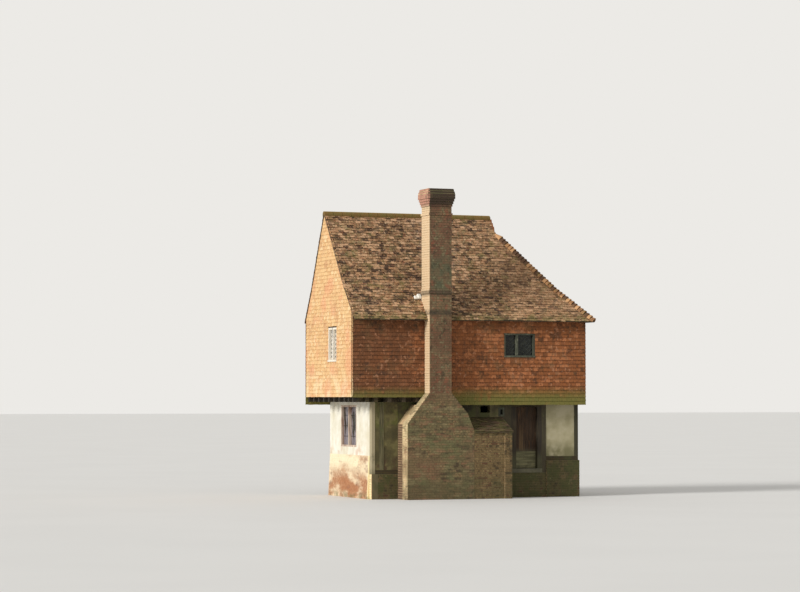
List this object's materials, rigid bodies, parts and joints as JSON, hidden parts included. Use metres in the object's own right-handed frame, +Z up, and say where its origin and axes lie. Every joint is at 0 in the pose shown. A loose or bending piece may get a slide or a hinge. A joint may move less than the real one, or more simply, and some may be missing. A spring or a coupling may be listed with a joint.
{
  "type": "timber-framed jettied house with brick chimney",
  "caption": "Small two-storey timber-framed house with a tile-hung jettied upper floor, a tiled roof hipped at one end, an outside brick chimney and a hinged plank door.",
  "frame": {"origin": "centre of the part's box, at the lowest ground level", "axes": "+X to the right along the front, +Y from the front to the back, +Z up"},
  "size_m": [8.26, 5.002, 9.792],
  "materials": {
    "brick": "hand-made red brick in lime mortar",
    "old_brick": "eroded pinkish brick with lime wash",
    "hung_tile": "hung clay plain tiles",
    "roof_tile": "weathered clay plain tiles",
    "ridge_tile": "mossy clay ridge tiles",
    "moss_tile": "mossy tiled top",
    "oak": "weathered grey oak",
    "dark_oak": "dark stained oak",
    "floor_oak": "worn oak boards",
    "plaster": "cream lime plaster",
    "white_render": "white lime render",
    "mossy_panel": "mossy plaster",
    "stone": "worn stone",
    "pale_frame": "pale painted wood",
    "iron": "forged iron",
    "glass": "old leaded glass"
  },
  "bodies": {
    "house": {"left_end_base": "old_brick", "front_plinth": "brick", "front_right_plinth": "brick", "right_end_plinth": "brick", "back_plinth": "brick", "sill_beams": "oak", "ground_floor": "stone", "lower_posts": "oak", "front_left_panel": "mossy_panel", "front_mid_wall": "plaster", "plaster_panel": "plaster", "left_end_wall": "white_render", "lower_back_wall": "plaster", "lower_right_wall": "plaster", "floor_joists": "oak", "jetty_joists": "oak", "dragon_beam": "oak", "joist_infill": "plaster", "upper_floor": "floor_oak", "upper_front_wall_left": "hung_tile", "upper_front_wall_right": "hung_tile", "left_gable_wall": "hung_tile", "upper_back_wall": "hung_tile", "upper_right_wall": "hung_tile", "front_roof_slope": "roof_tile", "back_roof_slope": "roof_tile", "hip_roof_slope": "roof_tile", "ridge_tiles": "ridge_tile", "hip_tiles": "ridge_tile", "chimney_base": "brick", "chimney_stack": "brick", "chimney_cap": "brick", "oven_block": "brick", "oven_roof": "moss_tile", "threshold": "stone", "door_jambs": "dark_oak", "door_head": "dark_oak", "door_pintles": "iron", "front_window_frame": "oak", "gable_window_frame": "pale_frame", "end_window_frame": "oak", "small_window_frame": "oak", "window_glass": "glass"},
    "door": {"door_leaf": "dark_oak", "door_straps": "iron"}
  },
  "joints": [
    {"name": "door_hinge", "type": "hinge", "parent": "house", "child": "door", "pos_m": [1.6613, -1.3704, 1.915], "axis": [0, 0, 1], "range_deg": [0, 95]}
  ]
}
